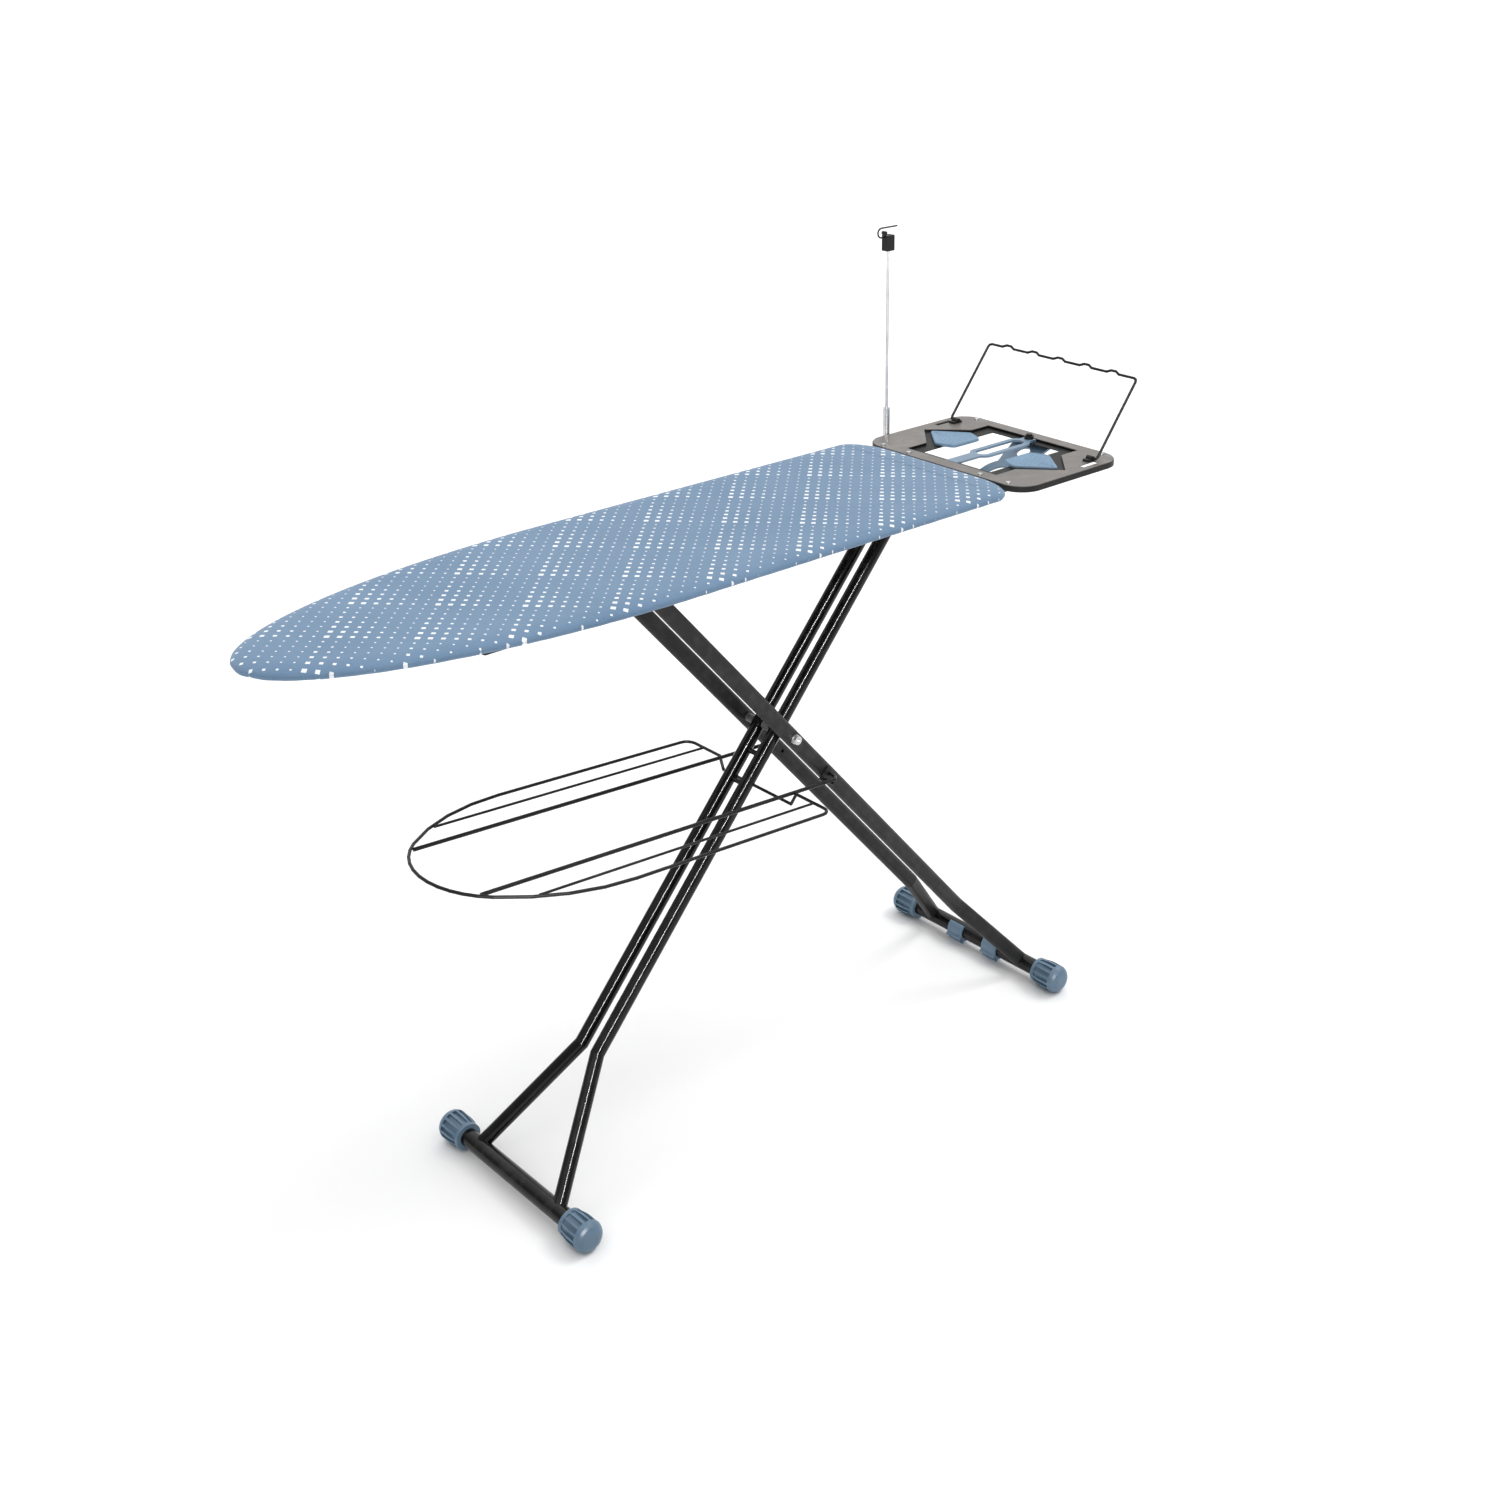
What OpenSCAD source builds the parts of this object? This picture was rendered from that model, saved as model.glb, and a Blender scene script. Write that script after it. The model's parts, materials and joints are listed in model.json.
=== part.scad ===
// Folding ironing board with iron rest, hanging rail, flex holder and garment rack.
// X runs from the rounded nose (-) to the iron rest (+), Y across, Z up from the floor.

/* [Board] */
// length of the ironing surface, nose to square end
board_l = 1220; // [1100:5:1300]
// width of the ironing surface
board_w = 368; // [340:2:400]
// height of the ironing surface above the floor
board_h = 950; // [930:1:960]
// length of the tapering nose
nose_l = 570; // [450:5:620]
// corner at the square end, measured along the board
corner_l = 50; // [30:1:70]
// corner at the square end, measured across the board
corner_w = 85; // [60:1:100]

/* [Upholstery and top] */
// fabric thickness of the fitted cover
cover_t = 1; // [0.8:0.1:2]
// thickness of the felt pad
pad_t = 5; // [4:0.5:8]
// thickness of the perforated steel top
mesh_t = 1.2; // [1:0.1:2]
// height of the edge frame
frame_h = 7; // [6:0.5:9]
// width of the edge frame
frame_w = 15; // [12:1:20]

/* [Scissor legs] */
// leg hinge line below the ironing surface
hinge_d = 48; // [46:0.5:50]
// board hinge to centre bolt, and slide pin to centre bolt
pivot_l = 404.3; // [395:0.1:412]
// leg length from its top axis to the foot bar
leg_l = 1161.5; // [1150:0.1:1175]
// fixed leg hinge, measured from the square end
hinge_s = 100; // [90:1:110]
// round tube diameter of the inner leg
inner_d = 22; // [20:0.5:23]
// half spacing of the inner leg tubes
inner_y = 19.5; // [18:0.5:20]
// deep side of the outer leg's flat tube
outer_deep = 26; // [24:0.5:27]
// thin side of the outer leg's flat tube
outer_thin = 16; // [14:0.5:16]
// half spacing of the outer leg tubes
outer_y = 54.5; // [54:0.5:56]
// wall of every leg and foot tube
tube_wall = 1.5; // [1.2:0.1:1.6]

/* [Feet] */
// foot bar diameter
foot_bar_d = 28; // [26:0.5:30]
// largest diameter of a foot cap
cap_d = 48; // [46:0.5:50]
// length of a foot cap
cap_l = 55; // [50:1:60]
// overall width of the outer leg's foot
outer_foot_w = 398; // [380:2:410]
// overall width of the inner leg's foot
inner_foot_w = 372; // [350:2:390]

/* [Garment rack] */
// wire diameter of the rim
rack_rim_d = 5; // [4:0.5:5.5]
// wire diameter of the two load wires
rack_load_d = 6; // [5:0.5:6]
// wire diameter of the two light wires
rack_thin_d = 4; // [3:0.5:4.5]
// rack pivot along the outer leg, from its slide pins
rack_s = 513.3; // [505:0.1:520]
// slope of the open rack, nose end up
rack_tilt = 4.3; // [3.5:0.1:4.5]

/* [Iron rest] */
// iron rest length
tray_l = 248; // [230:2:260]
// iron rest width
tray_w = 356; // [350:2:358]
// gap between board and iron rest
tray_gap = 8; // [6:0.5:12]
// iron rest surface below the ironing surface
tray_d = 8.5; // [8:0.1:9]

/* [Hanging rail] */
// length of a hanging rail arm
rail_arm = 156; // [145:1:160]
// lean of the open hanging rail above the level
rail_lean = 51.3; // [45:0.1:60]
// hanging rail wire diameter
rail_d = 4.5; // [4:0.1:5]

/* [Flex holder] */
// height of the flex holder's post above its pivot
post_l = 66; // [60:1:70]
// top of the thin rod above the pivot
rod_top = 344; // [300:1:350]

/* [Hidden] */
$fn = 48;
eps = 0.02;
edge_in = 10;
big = 2000;
run_c = 0.06;
half_w = board_w / 2;
foot_r = cap_d / 2;
leg_rise = board_h - hinge_d - foot_r;
leg_angle = asin(leg_rise / leg_l);
rail_u = tray_gap + 197;
rail_z = 5;
rail_out = rail_u + rail_arm * cos(rail_lean) + rail_d / 2;
end_x = (board_l - rail_out) / 2;
inner_r = inner_d / 2;
slide_s = hinge_s + 2 * pivot_l * cos(leg_angle);
folded_s = hinge_s + 2 * pivot_l;
bolt_s = hinge_s + pivot_l * cos(leg_angle);
bolt_d = hinge_d + pivot_l * sin(leg_angle);
pin_r = 5;
slide_r = 6;
outer_out = outer_y + outer_thin / 2;
outer_in = outer_y - outer_thin / 2;
pad_top_d = cover_t + 0.1;
mesh_top_d = pad_top_d + pad_t + 0.1;
frame_top_d = mesh_top_d + mesh_t + 0.1;
frame_bot_d = frame_top_d + frame_h;
lip_d = frame_bot_d + 0.2;
plate_y = outer_out + 5.5;
plate_t = 2.5;
plate_out = plate_y + plate_t;
outer_splay_l = 180;
outer_splay_y = 108;
inner_splay_l = 210;
inner_splay_y = 102;
load_y = plate_out + 13.5;
thin_y = 130;
rim_y = 168;
rack_back = 94;
rack_straight = 458;
rack_nose = 234;
nose_r = 130;
rack_dip = 20;
hook_u = tray_gap + 235;
hook_d = 16;
hook_stow = 154;
hook_reach = 103;
hook_ring = 44;
post_u = 71;
post_y = 187;
post_d = 30;
lever_s = slide_s - 35;
lever_d = 28;
lever_y = 108;
member_w = 18;
members = [60, 100, 330, 570, 760, 935, 1100];

// a point u beyond the square end, y across and d below the ironing surface
function at(u, y, d) = [end_x + u, y, board_h - d];

// half outline of the board, inset by g, from the square end to the nose tip
function corner_pts(g) = [for (a = [0:15:90])
    [-corner_l + (corner_l - g) * cos(a), half_w - corner_w + (corner_w - g) * sin(a)]];
function nose_pts(g) = [for (a = [0:5:85])
    [-(board_l - nose_l) - (nose_l - g) * sin(a), (half_w - g) * cos(a)]];
function flip(p) = [for (i = [len(p) - 1:-1:0]) [p[i][0], -p[i][1]]];
function outline(g) = concat(corner_pts(g), nose_pts(g), [[-board_l + g, 0]],
    flip(nose_pts(g)), flip(corner_pts(g)));

// half width of the frame's inner edge at s from the square end
function inner_half(s) = s < board_l - nose_l ? half_w - edge_in - frame_w :
    (half_w - edge_in - frame_w)
    * sqrt(1 - pow((s - board_l + nose_l) / (nose_l - edge_in - frame_w), 2));

// slab of the board outline inset by g, between depths d0 and d1
module slab(g, d0, d1) {
    translate(at(0, 0, d1)) linear_extrude(d1 - d0) polygon(outline(g));
}

// box from corner to corner in u, y and d
module ubox(u0, u1, y0, y1, d0, d1) {
    translate(at(u0, y0, d1)) cube([u1 - u0, y1 - y0, d1 - d0]);
}

// cylinder along Y centred on y
module ycyl(r, l) {
    rotate([90, 0, 0]) cylinder(r = r, h = l, center = true);
}

// ring along Y centred on y
module yring(r, bore, l) {
    difference() {
        ycyl(r, l);
        ycyl(bore, l + 1);
    }
}

// turns its children so that they start at a and run towards b along their own Z axis
module along(a, b) {
    v = b - a;
    translate(a) rotate([0, acos(v[2] / norm(v)), atan2(v[1], v[0])]) children();
}

// rod of diameter d from a to b, cut short by g at its start and h at its end
module rod(a, b, d, g = 0, h = 0) {
    along(a, b) translate([0, 0, g]) cylinder(d = d, h = norm(b - a) - g - h);
}

// bent wire of diameter d through pts, with a ball at each bend
module wire(pts, d) {
    n = len(pts) - 1;
    g = 0.07 * d;
    for (i = [0:n - 1]) {
        rod(pts[i], pts[i + 1], d, i == 0 ? 0 : g, i == n - 1 ? 0 : g);
        if (i > 0) along(pts[i], pts[i + 1]) sphere(d = d * 1.04, $fn = 32);
    }
}

// points of a round bend of radius r about c, from angle a0 to a1
function round_pts(c, r, a0, a1, n) = [for (i = [0:n])
    [c[0] + r * cos(a0 + (a1 - a0) * i / n), c[1] + r * sin(a0 + (a1 - a0) * i / n), 0]];
function mirror_y(p) = [for (i = [len(p) - 1:-1:0]) [p[i][0], -p[i][1], p[i][2]]];

// rectangle with round corners
module plate2d(l, w, r) {
    translate([-l / 2, -w / 2 + r]) square([l, w - 2 * r]);
    translate([-l / 2 + r, -w / 2]) square([l - 2 * r, w]);
    for (i = [-1, 1], j = [-1, 1])
        translate([i * (l / 2 - r), j * (w / 2 - r)]) circle(r);
}

// slot shape: a bar with round ends, centred
module slot2d(l, w) {
    square([l - w, w], center = true);
    for (i = [-1, 1]) translate([i * (l - w) / 2, 0]) circle(w / 2);
}

// frames: children are built with +X running down the leg from its top axis
module on_inner() {
    translate(at(-hinge_s, 0, hinge_d)) rotate([0, 180 - leg_angle, 0]) children();
}

module on_outer() {
    translate(at(-slide_s, 0, hinge_d)) rotate([0, leg_angle, 0]) children();
}

// frame of the rack: +X runs from its pivot towards the nose
module on_rack() {
    translate(at(rack_s * cos(leg_angle) - slide_s, 0, hinge_d + rack_s * sin(leg_angle)))
        rotate([0, rack_tilt, 0]) mirror([1, 0, 0]) children();
}

// upholstery: a shell stepped round the edge, turned in under the frame
module cover() {
    t = cover_t;
    color("steelblue") difference() {
        union() {
            slab(9, 0, lip_d);
            slab(3, 2, lip_d);
            slab(0, 5, lip_d + t);
        }
        slab(9 + t, t, lip_d);
        slab(3 + t, 2 + t, lip_d);
        slab(t, 5 + t, lip_d);
        slab(edge_in + 9, lip_d - 1, lip_d + t + 1);
    }
}

// felt on the steel top, turned down round the frame
module pad() {
    bottom = pad_top_d + pad_t;
    color("white") {
        slab(9.3 + cover_t, pad_top_d, bottom);
        difference() {
            slab(3.3 + cover_t, pad_top_d + 2, lip_d - 1.5);
            slab(edge_in - 0.5, bottom, lip_d);
        }
    }
}

// steel top and its frame
module mesh_top() {
    pitch = 38;
    color("dimgray") difference() {
        slab(edge_in, mesh_top_d, mesh_top_d + mesh_t);
        for (i = [1:30], j = [-4:4]) {
            s = i * pitch + 14;
            y = j * pitch + (i % 2) * pitch / 2;
            if (abs(y) < inner_half(s + pitch / 2) - 14 && s < board_l - 60)
                translate(at(-s, y, mesh_top_d + mesh_t + 1))
                    cylinder(d = 24, h = mesh_t + 2, $fn = 6);
        }
    }
}

module edge_frame() {
    color("black") difference() {
        slab(edge_in, frame_top_d, frame_bot_d);
        slab(edge_in + frame_w, frame_top_d - 1, frame_bot_d + 1);
    }
}

module cross_members() {
    color("black") for (s = members) {
        w = min(inner_half(s - member_w / 2), inner_half(s + member_w / 2)) - 0.5;
        ubox(-s - member_w / 2, -s + member_w / 2, -w, w, frame_top_d, frame_bot_d - 1);
    }
}

// bracket that carries the fixed leg's hinge pin
module hinge_bracket() {
    top = frame_bot_d - 0.9;
    color("black") difference() {
        union() {
            ubox(-hinge_s - 26, -hinge_s + 26, -37, 37, top, top + 2.5);
            for (j = [-1, 1]) translate([0, j * 35, 0])
                ubox(-hinge_s - 14, -hinge_s + 14, -1.5, 1.5, top + 1, hinge_d);
            for (j = [-1, 1]) translate(at(-hinge_s, j * 35, hinge_d)) ycyl(14, 3);
        }
        translate(at(-hinge_s, 0, hinge_d)) ycyl(pin_r + run_c, 90);
    }
}

// two slotted plates the outer leg's pins run in, with height notches
module slide_rails() {
    gap = slide_r + 0.3;
    y = plate_y + plate_t / 2;
    h = plate_t / 2;
    color("black") for (j = [-1, 1]) difference() {
        union() {
            ubox(-folded_s - 9, -slide_s + 60, j * y - h, j * y + h, frame_bot_d - 0.9, hinge_d);
            ubox(-folded_s, -slide_s + 60, j * y - h, j * y + h, hinge_d - 1, hinge_d + 9);
            translate(at(-folded_s, j * y, hinge_d)) ycyl(9, plate_t);
        }
        translate(at(-(slide_s + folded_s) / 2, 0, hinge_d)) rotate([90, 0, 0])
            linear_extrude(big, center = true) slot2d(folded_s - slide_s + 2 * gap, 2 * gap);
        for (i = [1:4]) translate(at(-slide_s - i * 45, 0, hinge_d + 1.5)) ycyl(gap, big);
        translate(at(-lever_s, 0, lever_d)) ycyl(4 + run_c, big);
    }
}

// tubes and rods that carry the iron rest
module tray_supports() {
    color("black") for (j = [-1, 1]) {
        rod(at(-66, j * 45, 28.2), at(tray_gap + 20, j * 45, 28.2), 12);
        rod(at(-66, j * 98, 26), at(tray_gap + 20, j * 98, 26), 6);
        for (y = [45, 98]) {
            ubox(-66, -52, j * y - 5, j * y + 5, frame_bot_d - 0.9, 25);
            ubox(tray_gap + 6, tray_gap + 20, j * y - 5, j * y + 5, tray_d + 1.3, 25);
        }
    }
}

// hexagonal hole of the iron rest, grown by g
module tray_hole2d(g) {
    polygon([[26 - g, -100 - g], [26 - g, 100 + g], [72, 100 + g], [126, 158 + g],
             [184, 100 + g], [225 + g, 100 + g], [225 + g, -100 - g], [184, -100 - g],
             [126, -158 - g], [72, -100 - g]]);
}

module tray_plate() {
    color("gray") difference() {
        translate(at(tray_gap + tray_l / 2, 0, tray_d + 1.2))
            linear_extrude(1.2) plate2d(tray_l, tray_w, 40);
        translate(at(tray_gap, 0, tray_d + 5)) linear_extrude(9) tray_hole2d(0);
        for (j = [-1, 1]) ubox(tray_gap + 160, tray_gap + 196, j * 163 - 5, j * 163 + 5,
            tray_d - 5, tray_d + 5);
    }
}

module tray_trim() {
    color("black") difference() {
        translate(at(tray_gap + tray_l / 2, 0, 18.5))
            linear_extrude(18.5 - tray_d - 1.3) plate2d(tray_l + 2, tray_w + 2, 41);
        translate(at(tray_gap + tray_l / 2, 0, 30))
            linear_extrude(30) plate2d(tray_l - 5, tray_w - 5, 37.5);
        ubox(hook_u, hook_u + 40, -49, 49, 12.5, 30);
    }
}

// recessed floor round the opening; the two pads lie on it
module tray_pan() {
    color("black") difference() {
        translate(at(tray_gap, 0, 13.7)) linear_extrude(13.7 - tray_d - 1.3) tray_hole2d(1.5);
        translate(at(tray_gap, 0, 12.5)) linear_extrude(20) tray_hole2d(0);
        ubox(tray_gap + 39, tray_gap + 209, -75, 75, 0, 30);
    }
}

// silicone pad on one side of the opening
module rest_pad(side) {
    color("lightsteelblue") translate(at(tray_gap, 0, 12.4)) linear_extrude(5.4)
        polygon([[126, side * 143], [169, side * 87], [155, side * 55], [93, side * 55],
                 [79, side * 87]]);
}

module tray_rivets() {
    color("white") for (u = [10, 238], j = [-1, 1], y = [80, 140])
        if (u < 100 || y > 100)
            translate(at(tray_gap + u, j * y, tray_d)) cylinder(r = 4, h = 1.6);
}

// bar that bridges the opening, with a long eye
module hook_bar() {
    color("steelblue") translate(at(tray_gap, 0, 12.4)) linear_extrude(3.6) {
        difference() {
            translate([145, 0]) slot2d(128, 42);
            translate([145, 0]) slot2d(108, 24);
        }
        translate([28, -11.5]) square([56, 23]);
        translate([206, -11.5]) square([16, 23]);
    }
}

module hook_knob() {
    color("black") translate(at(tray_gap + 217, 0, 8.7)) {
        cylinder(r = 8, h = 5);
        translate([0, 0, 5]) cylinder(r = 5, h = 3);
    }
}

// lugs that carry the storage hook's pin
module hook_lugs() {
    color("black") for (j = [-1, 1]) difference() {
        union() {
            ubox(hook_u - 6, hook_u + 6, j * 45.5 - 1.5, j * 45.5 + 1.5, tray_d + 1.3, hook_d);
            translate(at(hook_u, j * 45.5, hook_d)) ycyl(6, 3);
        }
        translate(at(hook_u, 0, hook_d)) ycyl(3 + run_c, 120);
    }
}

// clips that carry the hanging rail's ends
module rail_clips() {
    color("black") for (j = [-1, 1]) difference() {
        union() {
            ubox(rail_u - 12, rail_u + 8, j * 150 - 6, j * 150 + 6, rail_z, tray_d - 0.1);
            translate(at(rail_u, j * 150, rail_z)) ycyl(4.4, 12);
        }
        translate(at(rail_u, j * 150, rail_z)) ycyl(rail_d / 2 + run_c, 60);
        ubox(rail_u - 20, rail_u + 20, j * 150 - 9, j * 150 + 9, tray_d - 0.1, 20);
    }
}

// side block with the flex holder's pivot pin
module post_base() {
    color("black") {
        ubox(post_u - 14, post_u + 14, tray_w / 2 + 1.1, tray_w / 2 + 2.8, 11, 42);
        translate(at(post_u, post_y + 0.3, post_d)) ycyl(3, 14);
        translate(at(post_u, post_y + 7.6, post_d)) ycyl(5, 1.2);
    }
}

// half space cut for a mitre at x = l, tilted by half the bend; keep is -1 or 1
module mitre_keep(l, bend, keep) {
    translate([l, 0, 0]) rotate([0, 0, bend / 2])
        translate([keep > 0 ? -0.02 : -big, -big / 2, -big / 2]) cube([big + 0.02, big, big]);
}

// leg tube: straight from x0 to l0, then splayed to (leg_l, y1)
module bent_tube(x0, l0, y0, y1, deep, thin) {
    bend = atan2(y1 - y0, leg_l - l0);
    run = norm([leg_l - l0, y1 - y0]);
    intersection() {
        translate([x0, y0, 0]) rotate([90, 0, 90])
            linear_extrude(l0 - x0 + 30) tube2d(deep, thin);
        translate([0, y0, 0]) mitre_keep(l0, bend, -1);
    }
    intersection() {
        translate([l0, y0, 0]) rotate([0, 0, bend]) translate([-30, 0, 0])
            rotate([90, 0, 90]) linear_extrude(run + 30) tube2d(deep, thin);
        translate([0, y0, 0]) mitre_keep(l0, bend, 1);
    }
}

module tube2d(deep, thin) {
    difference() {
        rotate(deep > thin ? 90 : 0) slot2d(deep + eps, thin);
        rotate(deep > thin ? 90 : 0)
            slot2d(deep + eps - 2 * tube_wall, thin - 2 * tube_wall);
    }
}

module outer_tube(side) {
    color("dimgray") on_outer() difference() {
        mirror([0, side < 0 ? 1 : 0, 0])
            bent_tube(-13, leg_l - outer_splay_l, outer_y, outer_splay_y, outer_deep, outer_thin);
        translate([leg_l, 0, 0]) ycyl(foot_bar_d / 2 + 0.05, 400);
        translate([leg_l + 6, -200, -50]) cube([60, 400, 100]);
        ycyl(slide_r + 0.02, 200);
        translate([pivot_l, 0, 0]) ycyl(pin_r + run_c, 200);
        translate([rack_s, 0, 0]) ycyl(rack_load_d / 2 + run_c, 200);
    }
}

module inner_tube(side) {
    color("black") on_inner() difference() {
        mirror([0, side < 0 ? 1 : 0, 0])
            bent_tube(-12, leg_l - inner_splay_l, inner_y, inner_splay_y, inner_d, inner_d);
        translate([leg_l, 0, 0]) ycyl(foot_bar_d / 2 + 0.05, 400);
        translate([leg_l + 6, -200, -50]) cube([60, 400, 100]);
        ycyl(pin_r + 0.02, 200);
        translate([pivot_l, 0, 0]) ycyl(pin_r + 0.02, 200);
    }
}

// foot bar tube of overall width w
module foot_bar(w) {
    translate([leg_l, 0, 0]) yring(foot_bar_d / 2, foot_bar_d / 2 - tube_wall, w - 24);
}

// barrel-shaped foot cap with a domed outer end at y = w / 2 and grooves between thin ribs
module foot_cap(w, side) {
    r = cap_d / 2;
    b = foot_bar_d / 2 + 0.05;
    grooves = 14;
    translate([leg_l, side * w / 2, 0]) rotate([side * 90, 0, 0]) difference() {
        rotate_extrude() polygon([[0, 0], [r - 14, 0], [r - 9, 1.2], [r - 5, 3.5], [r - 2, 7],
            [r - 0.5, 10.5], [r, 12.5], [r, 32], [r - 1, 40], [r - 3, cap_l - 5],
            [r - 2.6, cap_l - 4], [r - 2.8, cap_l], [b, cap_l], [b, 12], [0, 12]]);
        for (k = [1:grooves]) rotate([0, 0, (k - 0.5) * 360 / grooves])
            translate([r - 4.5, -3.4, 14.5]) cube([8, 6.8, cap_l - 21]);
    }
}

module inner_hinge_pin() {
    color("silver") translate(at(-hinge_s, 0, hinge_d)) {
        ycyl(pin_r, 84);
        for (j = [-1, 1]) translate([0, j * 40.4, 0]) ycyl(8, 3);
    }
}

// centre bolt with a recessed round head
module pivot_bolt() {
    color("silver") on_inner() translate([pivot_l, 0, 0]) difference() {
        union() {
            translate([0, 2.5, 0]) ycyl(pin_r, 2 * outer_out + 16);
            translate([0, -outer_out - 6, 0]) ycyl(6.8, 5.5);
        }
        translate([0, -outer_out - 9, 0]) ycyl(3.2, 4.9);
    }
}

module pivot_nut() {
    color("silver") on_inner() translate([pivot_l, outer_out + 6, 0]) rotate([90, 0, 0])
        difference() {
            cylinder(r = 8.5, h = 6, center = true, $fn = 6);
            cylinder(r = pin_r + 0.02, h = 8, center = true);
        }
}

module pivot_washers() {
    color("silver") on_inner() for (j = [-1, 1])
        translate([pivot_l, j * (outer_out + 1.6), 0]) yring(7.5, pin_r + 0.1, 2.6);
}

module pivot_spacers() {
    side_l = outer_in - inner_y - inner_r - 0.5;
    color("gray") on_inner() translate([pivot_l, 0, 0]) {
        for (j = [-1, 1])
            translate([0, j * (outer_in + inner_y + inner_r) / 2, 0])
                yring(6.8, pin_r + 0.1, side_l);
        yring(6.8, pin_r + 0.1, 2 * (inner_y - inner_r) - 0.3);
    }
}

// short bridges welded between the two tubes of the inner leg
module inner_ties() {
    color("black") on_inner() for (s = [450, 500])
        translate([s, 0, 0]) ycyl(4, 2 * (inner_y - inner_r) - 0.2);
}

// stub pins of the outer leg, running in the rails
module slide_pins() {
    inside = outer_in - 2;
    color("silver") on_outer() for (j = [-1, 1]) {
        translate([0, j * (inside + plate_out + 8) / 2, 0]) ycyl(slide_r, plate_out + 8 - inside);
        translate([0, j * (plate_out + 6), 0]) ycyl(8, 3);
    }
}

module slide_washers() {
    color("white") on_outer() for (j = [-1, 1])
        translate([0, j * (outer_out + 2.75), 0]) yring(11, slide_r + 0.1, 4.9);
}

// snap clips on the outer foot bar that hold the folded leg
module leg_clips() {
    color("steelblue") on_outer() for (j = [-1, 1]) translate([leg_l, j * 41, 0])
        difference() {
            union() {
                ycyl(foot_bar_d / 2 + 3.5, 33);
                translate([-8, -16.5, -foot_bar_d / 2 - 8]) cube([16, 33, 8]);
            }
            ycyl(foot_bar_d / 2 + 0.05, 40);
            translate([-30, -20, 3]) cube([60, 40, 40]);
            translate([-4, -20, -foot_bar_d / 2 - 9]) cube([8, 40, 6]);
        }
}

// stops under the rack's load wires: a lug on each outer tube with a pin
module rack_stops() {
    reach = 12;
    drop = rack_load_d / 2 + 2.7;
    a = leg_angle - rack_tilt;
    x = rack_s - reach * cos(a) + drop * sin(a);
    z = -reach * sin(a) - drop * cos(a);
    color("silver") on_outer() for (j = [0, 1]) mirror([0, j, 0]) {
        translate([x - 9, outer_out + 0.1, z - 5]) cube([9, 2.5, 18 - z / 2]);
        translate([x, outer_out + 12.6, z]) ycyl(2.5, 25);
    }
}

// rack rim: straight sides, a nose of three arcs and a back that dips under the legs
rack_end = rack_straight + rack_nose - nose_r;
side_r = (pow(rack_nose - nose_r, 2) + pow(rim_y, 2) - pow(nose_r, 2)) / (2 * (rim_y - nose_r));
nose_a = atan2(side_r - rim_y, rack_nose - nose_r);
function rim_half() = concat(
    [[rack_back, load_y - 4, -rack_dip], [rack_back, load_y + 6.5, 0]],
    round_pts([rack_back + 16, rim_y - 16], 16, 180, 90, 4),
    round_pts([rack_straight, rim_y - side_r], side_r, 90, nose_a, 4),
    round_pts([rack_end, 0], nose_r, nose_a * 9 / 11, nose_a / 11, 4));
module rack_rim() {
    p = concat(rim_half(), mirror_y(rim_half()));
    n = len(p);
    g = 0.07 * rack_rim_d;
    color("black") on_rack() for (i = [0:n - 1]) {
        rod(p[i], p[(i + 1) % n], rack_rim_d, g, g);
        translate(p[i]) sphere(d = rack_rim_d * 1.04, $fn = 32);
    }
}

// inner side of the rim at y
function rim_in(y) = y < nose_r * sin(nose_a)
    ? rack_end + sqrt(pow(nose_r - rack_rim_d / 2, 2) - y * y)
    : rack_straight + sqrt(pow(side_r - rack_rim_d / 2, 2) - pow(y + side_r - rim_y, 2));

module rack_thin_wires() {
    color("black") on_rack() for (j = [-1, 1])
        rod([rack_back + rack_rim_d / 2 + 0.1, j * thin_y, 0],
            [rim_in(thin_y + rack_thin_d / 2) - 0.1, j * thin_y, 0], rack_thin_d);
}

module rack_load(side) {
    color("black") on_rack() mirror([0, side < 0 ? 1 : 0, 0])
        wire([[0, outer_in + 3, 0], [0, load_y - 8, 0], [8, load_y, 0],
            [rim_in(load_y + rack_load_d / 2) - 0.1, load_y, 0]], rack_load_d);
}

// hanging rail: two arms and a bar with five low humps that keep hangers apart
module hanging_rail() {
    y = 163;
    rise = 4;
    a = rail_arm - rise;
    hump = [[0, 0], [8, rise], [18, rise], [26, 0]];
    color("black") translate(at(rail_u, 0, rail_z)) rotate([0, -rail_lean, 0])
        wire(concat([[0, y - 20, 0]], round_pts([6, y - 6], 6, 180, 90, 2),
            round_pts([a - 6, y - 6], 6, 90, 0, 2),
            [for (i = [0:4], t = hump) [a + t[1], 133 - 58 * i - t[0], 0]],
            round_pts([a - 6, 6 - y], 6, 0, -90, 2), round_pts([6, 6 - y], 6, -90, -180, 2),
            [[0, 20 - y, 0]]), rail_d);
}

// storage hook, shown folded under the iron rest
module storage_hook() {
    color("steelblue") translate(at(hook_u, 0, hook_d)) rotate([0, hook_stow, 0]) difference() {
        union() {
            translate([0, 0, -2]) linear_extrude(4) difference() {
                union() {
                    polygon([[0, -40], [0, 40], [22, 36], [hook_reach - 20, 26],
                             [hook_reach - 20, -26], [22, -36]]);
                    translate([hook_reach, 0]) circle(hook_ring);
                }
                translate([hook_reach, 0]) circle(27);
                translate([hook_reach, -60]) square([16, 60]);
                translate([34, 0]) circle(12);
            }
            ycyl(5.4, 84);
        }
        ycyl(3 + run_c, 100);
    }
}

module hook_pin() {
    color("silver") translate(at(hook_u, 0, hook_d)) {
        ycyl(3, 96);
        for (j = [-1, 1]) translate([0, j * 48.4, 0]) ycyl(4.5, 2);
    }
}

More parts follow.
